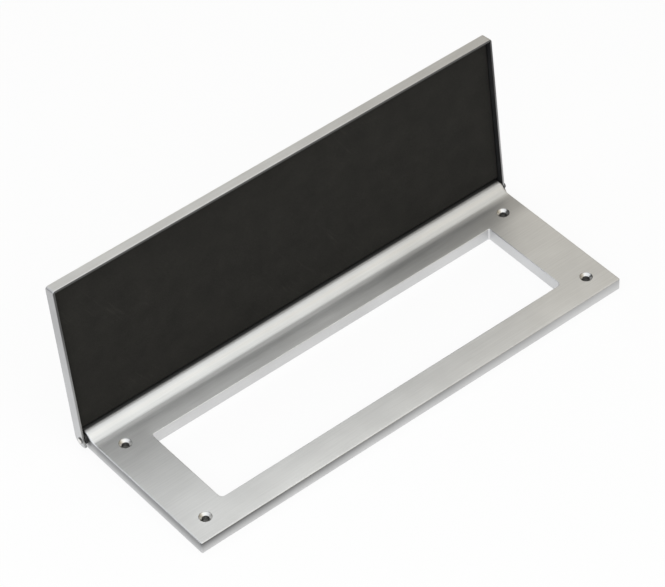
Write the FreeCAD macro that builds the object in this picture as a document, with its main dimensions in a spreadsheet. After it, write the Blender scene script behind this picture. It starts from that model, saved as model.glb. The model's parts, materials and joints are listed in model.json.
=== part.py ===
import FreeCAD, Part
import os
import Sketcher

# Letterbox draught excluder: a framed plate that is screwed round the inside of a letter slot, with a
# hinge rail along its back edge and a lipped, foam-lined flap that turns on a pin at each rail end.
# The frame lies on its back. X runs along the hinge, Y from the front edge to the hinge, Z away from
# the door. The origin is the centre of the screw pattern on the back face. The flap stands open.

# Driving dimensions, in millimetres and degrees.
DIMENSIONS = (
    ("frame_length", 280.0, "end to end of the framed plate"),
    ("frame_depth", 101.0, "front edge to back face"),
    ("plate_thickness", 7.5, "back face to plate top"),
    ("side_bar", 26.3, "plate end to window"),
    ("front_bar", 17.5, "front edge to window"),
    ("rear_bar", 21.5, "window to pin axis"),
    ("window_front_corner", 2.4, "radius in the window's two front corners"),
    ("window_rear_corner", 1.2, "radius in the window's two rear corners"),
    ("window_edge", 0.4, "round on the window's rim"),
    ("hole_end_inset", 12.5, "plate end to screw hole"),
    ("hole_front_inset", 12.8, "front edge to front row of screw holes"),
    ("hole_rear_inset", 17.2, "rear row of screw holes to pin axis"),
    ("screw_hole", 4.0, "diameter of the screw holes"),
    ("countersink", 7.0, "diameter of the countersinks"),
    ("countersink_angle", 90.0, "full angle of the countersinks"),
    ("pin_height", 6.5, "back face to pin axis"),
    ("bead_radius", 4.5, "rail bead, struck from the pin axis"),
    ("cove_radius", 5.0, "hollow from the bead down to the plate top"),
    ("rail_shoulder", 5.5, "pin axis to back face of the rail"),
    ("shoulder_round", 1.0, "round on the rail's rear top edge, where the open flap lands"),
    ("frame_edge", 0.7, "round on the plate's outer edges"),
    ("open_angle", 96.5, "flap from closed to its open stop"),
    ("stop_gap", 0.2, "flap's hinge edge to the rail shoulder at the open stop"),
    ("face_offset", 5.0, "pin axis to the flap's outer face"),
    ("flap_depth", 6.5, "flap's outer face to the rim of its lips"),
    ("sheet_thickness", 1.5, "flap sheet"),
    ("lip_thickness", 1.3, "flap lips and ears"),
    ("lip_gap", 1.5, "plate edge to the inside of a lip when closed"),
    ("ear_start", 0.5, "pin axis down to where a lip's rim begins to widen into its ear"),
    ("ear_drop", 2.0, "toe of an ear below the lip's rim"),
    ("ear_reach", 4.3, "pin axis to the end of an ear"),
    ("ear_round", 5.0, "round on the heel of an ear"),
    ("ear_toe", 1.0, "round on the toe of an ear"),
    ("flap_corner", 1.8, "round on the flap's two free corners"),
    ("flap_edge", 0.5, "round on the outer edges of the flap's lips and ears"),
    ("foam_gap", 0.5, "foam to the inside of the lips"),
    ("foam_clearance", 0.3, "foam to plate top when closed"),
    ("foam_inset", 5.7, "pin axis to the foam's hinge edge"),
    ("foam_round", 1.0, "round on the foam's hinge edge, which clears the rail's cove"),
    ("pin_diameter", 2.0, "shank of the pivot pins"),
    ("pin_depth", 12.0, "length of the shank inside the rail"),
    ("pin_seat", 0.01, "radial room of the shank in the rail"),
    ("bore_end_gap", 0.5, "end of the shank to the end of its bore"),
    ("running_clearance", 0.05, "radial room of ears and washers on the pins"),
    ("head_diameter", 3.6, "domed pin head"),
    ("head_height", 0.9, "seat to crown of the pin head"),
    ("head_rim", 0.2, "straight part of the pin head below its dome"),
    ("end_play", 0.2, "ear to washer and to pin head, and ear back to rail end"),
    ("washer_diameter", 6.0, "black spacer washers"),
)

# Sizes that follow from the driving ones, as expressions on the sheet.
HOLE_ROWS = "(dim.frame_depth - dim.rail_shoulder - dim.hole_rear_inset - dim.hole_front_inset)"
PIN_Y = f"({HOLE_ROWS} / 2 + dim.hole_rear_inset)"
FRONT_Y = f"({PIN_Y} + dim.rail_shoulder - dim.frame_depth)"
BACK_Y = f"({PIN_Y} + dim.rail_shoulder)"
RAIL_TOP = "(dim.pin_height + dim.bead_radius)"
HALF_LENGTH = "(dim.frame_length / 2)"
COVE_RISE = "(dim.plate_thickness + dim.cove_radius - dim.pin_height)"
COVE_RUN = f"sqrt((dim.bead_radius + dim.cove_radius) ^ 2 - {COVE_RISE} ^ 2)"
LIP_INSIDE = f"({HALF_LENGTH} + dim.lip_gap)"
LIP_OUTSIDE = f"({LIP_INSIDE} + dim.lip_thickness)"
FLAP_REACH = "(dim.frame_depth - dim.rail_shoulder + dim.lip_gap + dim.lip_thickness)"
RIM_DROP = "(dim.flap_depth - dim.face_offset)"
TOE_DROP = f"({RIM_DROP} + dim.ear_drop)"
SHEET_INSIDE = "(dim.face_offset - dim.sheet_thickness)"
FOAM_FACE = "(dim.plate_thickness + dim.foam_clearance - dim.pin_height)"
HEAD_SEAT = "(dim.lip_gap + dim.lip_thickness + dim.end_play)"
DOME_RISE = "(dim.head_height - dim.head_rim)"
DOME_RADIUS = f"(({DOME_RISE} ^ 2 + (dim.head_diameter / 2) ^ 2) / (2 * {DOME_RISE}))"
WASHER_THICKNESS = "(dim.lip_gap - dim.end_play)"
PIN_RADIUS = "(dim.pin_diameter / 2)"
# The sheet's hinge edge meets the rounded rail shoulder when the flap is turned to open_angle.
STOP_EDGE = (
    "((dim.shoulder_round - dim.rail_shoulder) * cos(dim.open_angle)"
    " + (dim.bead_radius - dim.shoulder_round) * sin(dim.open_angle)"
    " + dim.shoulder_round + dim.stop_gap)"
)

SMALL = 1e-4
START, END, CENTRE = 1, 2, 3
SKETCH_X_AXIS = -1
SKETCH_ROOT = (SKETCH_X_AXIS, START)
ACROSS = FreeCAD.Vector(1, 0, 0)
UPRIGHT = FreeCAD.Vector(0, 0, 1)
HALF_TURN = "180"

doc = FreeCAD.newDocument("letterbox_draught_excluder")


def make_sheet():
    """Spreadsheet of the driving dimensions, one alias a row."""
    sheet = doc.addObject("Spreadsheet::Sheet", "dim")
    for row, (alias, number, meaning) in enumerate(DIMENSIONS, start=1):
        sheet.set(f"A{row}", meaning)
        sheet.set(f"B{row}", str(number))
        sheet.setAlias(f"B{row}", alias)
    doc.recompute()
    return sheet


dim = make_sheet()


def value(expression):
    """Number that an expression on the sheet gives."""
    return float(dim.evalExpression(expression))


def make_body(label):
    body = doc.addObject("PartDesign::Body", label)
    body.Label = label
    return body


def origin_feature(body, role):
    return next(item for item in body.Origin.OriginFeatures if item.Role == role)


def make_sketch(body, name, role, height=None):
    """Sketch on one of the body's own planes, moved along its normal by the expression height."""
    sketch = body.newObject("Sketcher::SketchObject", name)
    sketch.AttachmentSupport = (origin_feature(body, role), "")
    sketch.MapMode = "FlatFace"
    if height:
        sketch.setExpression("AttachmentOffset.Base.z", height)
    return sketch


def constrain(sketch, kind, references, expression):
    """Dimension of a sketch, bound to an expression."""
    index = sketch.addConstraint(Sketcher.Constraint(kind, *references, value(expression)))
    sketch.setExpression(f"Constraints[{index}]", expression)


def place_point(sketch, item, point, across, up):
    constrain(sketch, "DistanceX", (*SKETCH_ROOT, item, point), across)
    constrain(sketch, "DistanceY", (*SKETCH_ROOT, item, point), up)


def draw_chain(sketch, corners, closed=True):
    """Straight runs through corners given as pairs of expressions. Returns the first and last run.

    An open chain leaves its first corner free, for the curve that meets it to settle.
    """
    points = [FreeCAD.Vector(value(across), value(up), 0) for across, up in corners]
    ends = points[1:] + points[:1] if closed else points[1:]
    items = [sketch.addGeometry(Part.LineSegment(a, b)) for a, b in zip(points, ends)]
    for first, second in zip(items, items[1:] + items[:1] if closed else items[1:]):
        sketch.addConstraint(Sketcher.Constraint("Coincident", first, END, second, START))
    fixed = list(zip(items, corners))
    for item, (across, up) in fixed if closed else fixed[1:]:
        place_point(sketch, item, START, across, up)
    if not closed:
        place_point(sketch, items[-1], END, *corners[-1])
    return items[0], items[-1]


def draw_circle(sketch, across, up, diameter):
    centre = FreeCAD.Vector(value(across), value(up), 0)
    circle = Part.Circle(centre, UPRIGHT, value(diameter) / 2)
    item = sketch.addGeometry(circle)
    place_point(sketch, item, CENTRE, across, up)
    constrain(sketch, "Diameter", (item,), diameter)


def draw_arc(sketch, centre, start, end, radius):
    """Anticlockwise arc. The three points are pairs of expressions, and radius is one."""
    across, up = (value(part) for part in centre)
    turn = [FreeCAD.Vector(value(x) - across, value(y) - up, 0) for x, y in (start, end)]
    angles = [vector.getAngle(ACROSS) * (1 if vector.y >= 0 else -1) for vector in turn]
    circle = Part.Circle(FreeCAD.Vector(across, up, 0), UPRIGHT, value(radius))
    item = sketch.addGeometry(Part.ArcOfCircle(circle, *angles))
    constrain(sketch, "Radius", (item,), radius)
    return item


def join(sketch, kind, *ends):
    sketch.addConstraint(Sketcher.Constraint(kind, *ends))


def add_feature(body, kind, name, sketch):
    feature = body.newObject(kind, name)
    feature.Profile = sketch
    return feature


def pad(body, name, sketch, length, symmetric=False):
    feature = add_feature(body, "PartDesign::Pad", name, sketch)
    feature.SideType = "Symmetric" if symmetric else "One side"
    feature.setExpression("Length", length)
    doc.recompute()
    return feature


def pocket(body, name, sketch, length=None, reverse=False, symmetric=False):
    """Pocket of a given length, or right through. It has to take material away."""
    before = body.Shape.Volume
    feature = add_feature(body, "PartDesign::Pocket", name, sketch)
    feature.SideType = "Symmetric" if symmetric else "One side"
    feature.Reversed = reverse
    if length:
        feature.setExpression("Length", length)
    else:
        feature.Type = "ThroughAll"
    doc.recompute()
    if body.Shape.Volume > before - SMALL:
        raise RuntimeError(f"{name} cuts nothing")
    return feature


def mirror(body, name, feature, role):
    copy = body.newObject("PartDesign::Mirrored", name)
    copy.Originals = [feature]
    copy.MirrorPlane = (origin_feature(body, role), [""])
    body.Tip = copy
    doc.recompute()
    return copy


def soften(body, name, test, radius):
    """Fillet on the open edges of the body whose box passes a test. Round holes stay sharp."""
    base = body.Tip
    edges = enumerate(base.Shape.Edges, start=1)
    names = [f"Edge{number}" for number, edge in edges if not edge.isClosed() and test(edge.BoundBox)]
    if not names:
        raise RuntimeError(f"{name} finds no edge")
    fillet = body.newObject("PartDesign::Fillet", name)
    fillet.Base = (base, names)
    fillet.setExpression("Radius", radius)
    doc.recompute()
    return fillet


def near(first, second):
    return abs(first - second) < SMALL


def level(low, high, place):
    """True where a span has no length and lies at one place."""
    return near(low, place) and near(high, place)


def place_body(body, across, turn_axis=None, turn=None):
    """Stand a body on the pin axis, at a place along the hinge, and turn it there."""
    if turn:
        body.Placement.Rotation = FreeCAD.Rotation(turn_axis, value(turn))
        body.setExpression("Placement.Rotation.Angle", turn)
    body.setExpression("Placement.Base.x", across)
    body.setExpression("Placement.Base.y", PIN_Y)
    body.setExpression("Placement.Base.z", "dim.pin_height")
    doc.recompute()


def draw_frame_section(body):
    """Section of plate and rail: flat plate, cove, bead about the pin axis, and rear shoulder."""
    sketch = make_sketch(body, "frame_section", "YZ_Plane")
    crest = (PIN_Y, RAIL_TOP)
    cove_foot = (f"{PIN_Y} - {COVE_RUN}", "dim.plate_thickness")
    cove_centre = (f"{PIN_Y} - {COVE_RUN}", "dim.plate_thickness + dim.cove_radius")
    share = "dim.bead_radius / (dim.bead_radius + dim.cove_radius)"
    bead_end = (f"{PIN_Y} - {COVE_RUN} * {share}", f"dim.pin_height + {COVE_RISE} * {share}")
    corners = (
        cove_foot,
        (FRONT_Y, "dim.plate_thickness"),
        (FRONT_Y, "0"),
        (BACK_Y, "0"),
        (BACK_Y, RAIL_TOP),
        crest,
    )
    plate_top, rail_top = draw_chain(sketch, corners, closed=False)
    bead = draw_arc(sketch, (PIN_Y, "dim.pin_height"), crest, bead_end, "dim.bead_radius")
    cove = draw_arc(sketch, cove_centre, cove_foot, bead_end, "dim.cove_radius")
    join(sketch, "Horizontal", plate_top)
    join(sketch, "Tangent", rail_top, END, bead, START)
    join(sketch, "Tangent", bead, END, cove, END)
    join(sketch, "Tangent", plate_top, START, cove, START)
    return sketch


def cut_window(body):
    """Window through the plate, with the corners and rim that a cutter leaves."""
    side = f"({HALF_LENGTH} - dim.side_bar)"
    front = f"({FRONT_Y} + dim.front_bar)"
    rear = f"({PIN_Y} - dim.rear_bar)"
    sketch = make_sketch(body, "window_outline", "XY_Plane")
    draw_chain(sketch, ((f"-{side}", front), (side, front), (side, rear), (f"-{side}", rear)))
    pocket(body, "window", sketch, reverse=True)

    half, low, high = value(side), value(front), value(rear)
    top = value("dim.plate_thickness")

    def is_front_corner(box):
        return near(box.ZLength, top) and near(abs(box.Center.x), half) and near(box.Center.y, low)

    def is_rear_corner(box):
        return near(box.ZLength, top) and near(abs(box.Center.x), half) and near(box.Center.y, high)

    def is_rim(box):
        inside = abs(box.Center.x) < half + SMALL and low - SMALL < box.Center.y < high + SMALL
        return inside and level(box.ZMin, box.ZMax, top)

    soften(body, "window_front_corners", is_front_corner, "dim.window_front_corner")
    soften(body, "window_rear_corners", is_rear_corner, "dim.window_rear_corner")
    soften(body, "window_rim", is_rim, "dim.window_edge")


def drill_screw_holes(body):
    """Four countersunk holes, sunk from the plate's top."""
    sketch = make_sketch(body, "screw_pattern", "XY_Plane", "dim.plate_thickness")
    hole_x = f"({HALF_LENGTH} - dim.hole_end_inset)"
    for across in (f"-{hole_x}", hole_x):
        for up in (f"-{HOLE_ROWS} / 2", f"{HOLE_ROWS} / 2"):
            draw_circle(sketch, across, up, "dim.screw_hole")
    doc.recompute()
    holes = add_feature(body, "PartDesign::Hole", "screw_holes", sketch)
    holes.DepthType = "ThroughAll"
    holes.setExpression("Diameter", "dim.screw_hole")
    holes.HoleCutType = "Countersink"
    holes.HoleCutCustomValues = True
    holes.setExpression("HoleCutDiameter", "dim.countersink")
    holes.setExpression("HoleCutCountersinkAngle", "dim.countersink_angle")
    doc.recompute()


def make_frame_plate():
    """Extruded plate and hinge rail, with the window, screw holes and pin bores machined in."""
    body = make_body("frame_plate")
    pad(body, "frame_bar", draw_frame_section(body), "dim.frame_length", symmetric=True)
    cut_window(body)
    drill_screw_holes(body)

    bore = make_sketch(body, "pin_bore_outline", "YZ_Plane", HALF_LENGTH)
    draw_circle(bore, PIN_Y, "dim.pin_height", "dim.pin_diameter + 2 * dim.pin_seat")
    right_bore = pocket(body, "pin_bore_right", bore, "dim.pin_depth + dim.bore_end_gap")
    mirror(body, "pin_bore_left", right_bore, "YZ_Plane")

    half, front, back, rail_top = (value(size) for size in (HALF_LENGTH, FRONT_Y, BACK_Y, RAIL_TOP))

    def is_shoulder(box):
        return level(box.YMin, box.YMax, back) and level(box.ZMin, box.ZMax, rail_top)

    def is_outline(box):
        at_end = level(box.XMin, box.XMax, -half) or level(box.XMin, box.XMax, half)
        return at_end or level(box.YMin, box.YMax, front)

    soften(body, "rail_shoulder", is_shoulder, "dim.shoulder_round")
    soften(body, "frame_edges", is_outline, "dim.frame_edge")
    return body


def draw_lip_outline(body):
    """Side view of an end lip, as it lies when closed. Its rim widens into the ear round the pin."""
    sketch = make_sketch(body, "lip_outline", "YZ_Plane", LIP_INSIDE)
    draw_chain(sketch, (
        (f"-{FLAP_REACH}", f"-{RIM_DROP}"),
        ("dim.ear_start", f"-{RIM_DROP}"),
        ("dim.ear_reach", f"-{TOE_DROP}"),
        ("dim.ear_reach", "dim.face_offset"),
        (f"-{FLAP_REACH}", "dim.face_offset"),
    ))
    return sketch


def draw_ear_back(body):
    """Section of the sheet where it runs on past the rail end, to back the ear as far as its heel."""
    sketch = make_sketch(body, "ear_back_section", "YZ_Plane", f"{HALF_LENGTH} + dim.end_play")
    lip_back = f"-({FLAP_REACH} - dim.lip_thickness)"
    heel = "(dim.ear_reach - dim.ear_round)"
    draw_chain(sketch, (
        (lip_back, SHEET_INSIDE),
        (heel, SHEET_INSIDE),
        (heel, "dim.face_offset"),
        (lip_back, "dim.face_offset"),
    ))
    return sketch


def make_flap_tray():
    """Flap sheet with a lip along its free edge and an eared lip at each end, drawn closed."""
    body = make_body("flap_tray")
    sheet = make_sketch(body, "sheet_section", "YZ_Plane")
    lip_back = f"-({FLAP_REACH} - dim.lip_thickness)"
    draw_chain(sheet, (
        (f"-{FLAP_REACH}", f"-{RIM_DROP}"),
        (lip_back, f"-{RIM_DROP}"),
        (lip_back, SHEET_INSIDE),
        (f"-{STOP_EDGE}", SHEET_INSIDE),
        (f"-{STOP_EDGE}", "dim.face_offset"),
        (f"-{FLAP_REACH}", "dim.face_offset"),
    ))
    pad(body, "sheet_and_free_lip", sheet, f"2 * {LIP_OUTSIDE}", symmetric=True)
    right_lip = pad(body, "end_lip_right", draw_lip_outline(body), "dim.lip_thickness")
    mirror(body, "end_lip_left", right_lip, "YZ_Plane")
    right_back = pad(body, "ear_back_right", draw_ear_back(body), "dim.lip_gap - dim.end_play")
    mirror(body, "ear_back_left", right_back, "YZ_Plane")

    bore = make_sketch(body, "ear_bore_outline", "YZ_Plane")
    draw_circle(bore, "0", "0", "dim.pin_diameter + 2 * dim.running_clearance")
    pocket(body, "ear_bores", bore, symmetric=True)

    side, free, ear_end = value(LIP_OUTSIDE), -value(FLAP_REACH), value("dim.ear_reach")
    heel, toe = value("dim.face_offset"), -value(TOE_DROP)

    def is_heel(box):
        return level(box.YMin, box.YMax, ear_end) and level(box.ZMin, box.ZMax, heel)

    def is_toe(box):
        return level(box.YMin, box.YMax, ear_end) and level(box.ZMin, box.ZMax, toe)

    def is_free_corner(box):
        return level(box.YMin, box.YMax, free) and near(box.XLength, 0)

    def is_outline(box):
        at_end = level(box.XMin, box.XMax, -side) or level(box.XMin, box.XMax, side)
        return at_end or level(box.YMin, box.YMax, free)

    soften(body, "ear_heels", is_heel, "dim.ear_round")
    soften(body, "ear_toes", is_toe, "dim.ear_toe")
    soften(body, "free_corners", is_free_corner, "dim.flap_corner")
    soften(body, "flap_edges", is_outline, "dim.flap_edge")
    place_body(body, "0", -ACROSS, "dim.open_angle")
    return body


def make_foam_seal():
    """Foam sheet inside the flap, from the free lip back over the rail's cove."""
    body = make_body("foam_seal")
    sketch = make_sketch(body, "foam_outline", "XY_Plane", FOAM_FACE)
    side = f"({LIP_INSIDE} - dim.foam_gap)"
    free = f"-({FLAP_REACH} - dim.lip_thickness - dim.foam_gap)"
    hinge = "-dim.foam_inset"
    draw_chain(sketch, ((f"-{side}", free), (side, free), (side, hinge), (f"-{side}", hinge)))
    pad(body, "foam_sheet", sketch, f"{SHEET_INSIDE} - {FOAM_FACE}")

    edge, face = value(hinge), value(FOAM_FACE)

    def is_hinge_edge(box):
        return level(box.YMin, box.YMax, edge) and level(box.ZMin, box.ZMax, face)

    soften(body, "foam_hinge_edge", is_hinge_edge, "dim.foam_round")
    place_body(body, "0", -ACROSS, "dim.open_angle")
    return body


def make_hinge_pin(label, across, half_turn):
    """Domed pin, turned about X. Its origin lies on the rail end, with the head outside the ear."""
    body = make_body(label)
    sketch = make_sketch(body, "pin_profile", "XY_Plane")
    crown = (f"{HEAD_SEAT} + dim.head_height", "0")
    dome_rim = (f"{HEAD_SEAT} + dim.head_rim", "dim.head_diameter / 2")
    corners = (
        crown,
        ("-dim.pin_depth", "0"),
        ("-dim.pin_depth", PIN_RADIUS),
        (HEAD_SEAT, PIN_RADIUS),
        (HEAD_SEAT, "dim.head_diameter / 2"),
        dome_rim,
    )
    axis, rim = draw_chain(sketch, corners, closed=False)
    dome_centre = (f"{HEAD_SEAT} + dim.head_height - {DOME_RADIUS}", "0")
    dome = draw_arc(sketch, dome_centre, crown, dome_rim, DOME_RADIUS)
    join(sketch, "Horizontal", axis)
    join(sketch, "PointOnObject", dome, CENTRE, SKETCH_X_AXIS)
    join(sketch, "Coincident", axis, START, dome, START)
    join(sketch, "Coincident", rim, END, dome, END)
    turned = add_feature(body, "PartDesign::Revolution", "turned_pin", sketch)
    turned.ReferenceAxis = (sketch, ["H_Axis"])
    doc.recompute()
    place_body(body, across, UPRIGHT, half_turn)
    return body


def make_washer(label, across, half_turn):
    """Spacer washer that lies on the rail end, round the pin."""
    body = make_body(label)
    sketch = make_sketch(body, "washer_outline", "YZ_Plane")
    draw_circle(sketch, "0", "0", "dim.washer_diameter")
    draw_circle(sketch, "0", "0", "dim.pin_diameter + 2 * dim.running_clearance")
    pad(body, "washer_disc", sketch, WASHER_THICKNESS)
    place_body(body, across, UPRIGHT, half_turn)
    return body


def check_document(bodies):
    """Stop if any object failed, or a body isn't one valid solid."""
    for item in doc.Objects:
        if "Invalid" in item.State or "Error" in item.State:
            raise RuntimeError(f"{item.Name} failed: {item.State}")
    for body in bodies:
        shape = body.Shape
        if shape.isNull() or not shape.isValid() or len(shape.Solids) != 1:
            raise RuntimeError(f"{body.Label} isn't one valid solid")


def main():
    bodies = [make_frame_plate(), make_flap_tray(), make_foam_seal()]
    for side, across, half_turn in (("left", f"-{HALF_LENGTH}", HALF_TURN), ("right", HALF_LENGTH, None)):
        bodies.append(make_hinge_pin(f"hinge_pin_{side}", across, half_turn))
        bodies.append(make_washer(f"washer_{side}", across, half_turn))
    doc.recompute()
    check_document(bodies)
    os.makedirs("parts", exist_ok=True)
    for body in bodies:
        body.Shape.exportStep(f"parts/{body.Label}.step")
        print(f"{body.Label}: {body.Shape.Volume:.1f} mm3")


main()
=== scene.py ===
import json
import math

import bpy
from mathutils import Matrix, Quaternion, Vector


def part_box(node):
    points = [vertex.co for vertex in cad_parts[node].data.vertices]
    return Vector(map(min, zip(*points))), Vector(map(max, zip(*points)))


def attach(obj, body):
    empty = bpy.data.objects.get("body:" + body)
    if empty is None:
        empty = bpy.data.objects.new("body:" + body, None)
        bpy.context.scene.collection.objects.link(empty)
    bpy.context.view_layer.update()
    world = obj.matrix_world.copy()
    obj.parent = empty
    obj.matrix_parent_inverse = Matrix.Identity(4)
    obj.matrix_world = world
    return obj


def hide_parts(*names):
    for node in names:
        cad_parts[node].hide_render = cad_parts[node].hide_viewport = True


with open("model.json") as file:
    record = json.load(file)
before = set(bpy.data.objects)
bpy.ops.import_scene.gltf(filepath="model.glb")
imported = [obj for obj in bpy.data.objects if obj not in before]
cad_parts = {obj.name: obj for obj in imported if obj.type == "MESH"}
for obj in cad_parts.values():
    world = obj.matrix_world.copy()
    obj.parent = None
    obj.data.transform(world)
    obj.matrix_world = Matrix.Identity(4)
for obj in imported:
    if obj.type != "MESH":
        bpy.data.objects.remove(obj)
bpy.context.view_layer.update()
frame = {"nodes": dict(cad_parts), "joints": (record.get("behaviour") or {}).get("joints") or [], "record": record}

bl_info = {
    "name": "Letterbox draught excluder",
    "version": (1, 0, 0),
    "blender": (4, 5, 0),
    "location": "3D View > Sidebar > Letterbox",
    "description": "Finishes and lights the plate, flap, foam and hinge of a letterbox draught excluder",
    "category": "Object",
}

MM = 0.001

# What the packed part says about itself: the hinge, the lean of the open flap, the plate and its screws.
HINGE = next(joint for joint in frame["joints"] if joint["name"] == "flap_hinge")
PIN_AXIS = Vector(HINGE["pos_m"])
OPEN_ANGLE = math.radians(HINGE["range_deg"][1])
FLAP_LEAN = OPEN_ANGLE - math.pi / 2
ALONG = Vector((1, 0, 0))
UP_FLAP = Vector((0, math.sin(FLAP_LEAN), math.cos(FLAP_LEAN)))
OFF_FLAP = ALONG.cross(UP_FLAP)
FLAP_AXES = (ALONG, UP_FLAP, OFF_FLAP)
SCREWS = next(mount for mount in frame["record"]["mounts"] if mount["name"] == "screw_holes")["dims"]
SCREW_PLACE = (SCREWS["spacing_x_mm"] / 2 * MM, SCREWS["spacing_y_mm"] / 2 * MM)
HOLE_RADIUS = SCREWS["hole_r_mm"] * MM
PLATE_LOW, PLATE_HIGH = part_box("frame_plate")
# Sizes of the plate and the flap, the same as in the part's source.
PLATE_TOP = 7.5 * MM
SIDE_BAR = 26.3 * MM
COUNTERSINK_RADIUS = 3.5 * MM
LIP_THICKNESS = 1.3 * MM
SHEET_THICKNESS = 1.5 * MM
# Width of the painted shade at the rim of a countersink.
SINK_RIM = 0.4 * MM
# How far below the rail's highest point its top still counts as flat.
RAIL_CROWN = 0.6 * MM
# Room in which a point counts as at the plate's end or front, and in which the rail top's smoother finish and
# painted shade fade in.
EDGE_ROOM = 1 * MM
# Slack in telling which face a point lies on, and the drop from the plate to the floor.
HAIR = 0.05 * MM
# Share of the painted shade on the plate's outer faces that is left at its right end.
RIGHT_SHADE_SHARE = 0.36
# Powers of the height by which the painted shade on the plate's ends and its front deepens upwards.
END_DARKENING, FRONT_DARKENING = 1.0, 1.5


def flap_spans(node):
    """Where a node of the flap begins and ends along the hinge, up the flap and off its sheet."""
    points = [vertex.co - PIN_AXIS for vertex in frame["nodes"][node].data.vertices]
    reaches = [[point.dot(axis) for point in points] for axis in FLAP_AXES]
    return [(min(reach), max(reach)) for reach in reaches]


# Inner faces of the flap's lips, and of its sheet, counted from the pin axis.
TRAY_SPANS = flap_spans("flap_tray")
LIP_INSIDE = TRAY_SPANS[0][1] - LIP_THICKNESS
FREE_LIP_INSIDE = TRAY_SPANS[1][1] - LIP_THICKNESS
SHEET_INSIDE = -TRAY_SPANS[2][0] - SHEET_THICKNESS


def length_property(name, description, default):
    return bpy.props.FloatProperty(
        name=name, description=description, default=default, min=0, precision=5, unit="LENGTH"
    )


def share_property(name, description, default, top=1.0):
    return bpy.props.FloatProperty(name=name, description=description, default=default, min=0, max=top)


def colour_property(name, description, default):
    return bpy.props.FloatVectorProperty(
        name=name, description=description, default=default, size=3, min=0, max=1, subtype="COLOR"
    )


def place_property(name, description, default):
    return bpy.props.FloatVectorProperty(
        name=name, description=description, default=default, size=3, precision=4, subtype="TRANSLATION"
    )


def area_property(name, description, default):
    return bpy.props.FloatVectorProperty(
        name=name, description=description, default=default, size=2, min=0, precision=4, unit="LENGTH"
    )


class BrushedMetal(bpy.types.PropertyGroup):
    """Finish of the plate and the flap, and the shade painted on them."""

    colour: colour_property("Colour", "Plate's brushed top, seen square on", (0.79, 0.793, 0.798))
    flat_roughness: share_property("Flat roughness", "Linished flat faces", 0.5)
    round_roughness: share_property("Round roughness", "Rail bead, cove and rounded edges", 0.36)
    turned_colour: colour_property("Turned colour", "Countersinks", (0.74, 0.73, 0.71))
    turned_roughness: share_property("Turned roughness", "Countersinks and the top of the rail", 0.3)
    grain: share_property("Grain", "How far the brushing draws reflections out across its lines", 0.5)
    line_length: length_property("Line length", "Length of one brush line", 22 * MM)
    line_width: length_property("Line width", "Width of one brush line", 0.4 * MM)
    line_depth: length_property("Line depth", "Depth of the brush lines", 0.003 * MM)
    line_tone: share_property("Line tone", "How far the brush lines lighten and darken the metal", 0.045)
    line_roughness: share_property("Line roughness", "How far the lines change the roughness", 0.08)
    cloud_size: length_property("Cloud size", "Size of the faint clouds left by polishing", 30 * MM)
    cloud_tone: share_property("Cloud tone", "How far the clouds lighten and darken the metal", 0.04)
    # Painted shade: the plate's rounds and sides, and the whole upright flap, are this much darker than the
    # plate's top.
    side_shade: share_property("Side tone", "Tone of rounds and sides against the plate's top", 0.88)
    # Painted shade on the plate's end faces, deepest at their top.
    end_face_shade: share_property("End face tone", "Tone of the plate's end faces at their top", 0.36)
    # Painted shade on the plate's front face, deepest at its top left.
    front_face_shade: share_property("Front face tone", "Tone of the front face at its top left", 0.11)
    # Painted shade on the rims of the end lips near the hinge; it deepens towards the free edge.
    end_rim_shade: share_property("End rim tone", "Tone of the rims of the flap's end lips", 0.55)
    # Painted shade on all rims at the flap's free edge.
    free_rim_shade: share_property("Free rim tone", "Tone of all rims at the flap's free edge", 0.17)
    # Painted shade on the flap's ends at the hinge.
    low_end_shade: share_property("Low end tone", "Tone of the flap's ends at the hinge", 0.92)
    # Painted shade on the flap's ends at its free edge.
    high_end_shade: share_property("High end tone", "Tone of the flap's ends at its free edge", 0.76)
    # Painted shade inside the flap, standing in for the shade and the dark foam that its inner faces mirror; the
    # metal is finished as outside.
    inside_shade: share_property("Inside tone", "Tone of the rough metal inside the flap", 0.18)
    # Painted shade on the flat top of the rail, behind the pin axis.
    rail_top_shade: share_property("Rail top tone", "Tone of the machined top of the rail", 0.28)
    # Painted shade down the screw holes.
    hole_shade: share_property("Hole tone", "Tone of the drilled screw holes", 0.6)
    # Painted shade at the rims of the countersinks.
    sink_rim_shade: share_property("Sink rim tone", "Tone of the rims of the countersinks", 0.5)
    # Painted shade on the plate by the rail's foot, at its right end.
    foot_shade: share_property("Foot tone", "Tone of the plate by the rail's foot at its right end", 0.74)


class PinSteel(bpy.types.PropertyGroup):
    """Finish of the two hinge pins, and the shade painted round their heads."""

    colour: colour_property("Colour", "Turned steel", (0.8, 0.79, 0.77))
    roughness: share_property("Roughness", "Polished head", 0.2)
    ring_width: length_property("Ring width", "Width of one turning mark", 0.12 * MM)
    ring_depth: length_property("Ring depth", "Depth of the turning marks", 0.002 * MM)
    ring_tone: share_property("Ring tone", "How far the marks lighten and darken the steel", 0.08)
    # The crown keeps the steel's own colour; shade is painted on from it out to the rim.
    crown_radius: length_property("Crown radius", "Bright crown of the head", 1.2 * MM)
    rim_radius: length_property("Rim radius", "Dark rim of the head", 1.7 * MM)
    # Painted shade at the head's rim.
    rim_shade: share_property("Rim tone", "Tone of the head's rim against its crown", 0.2)


class WasherNylon(bpy.types.PropertyGroup):
    """Finish of the two spacer washers."""

    colour: colour_property("Colour", "Black nylon", (0.012, 0.012, 0.012))
    roughness: share_property("Roughness", "Moulded nylon", 0.5)
    grain_size: length_property("Grain size", "Grain of the moulded surface", 0.25 * MM)
    grain_depth: length_property("Grain depth", "Depth of the grain", 0.01 * MM)
    grain_tone: share_property("Grain tone", "How far the grain lightens and darkens the nylon", 0.3)


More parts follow.
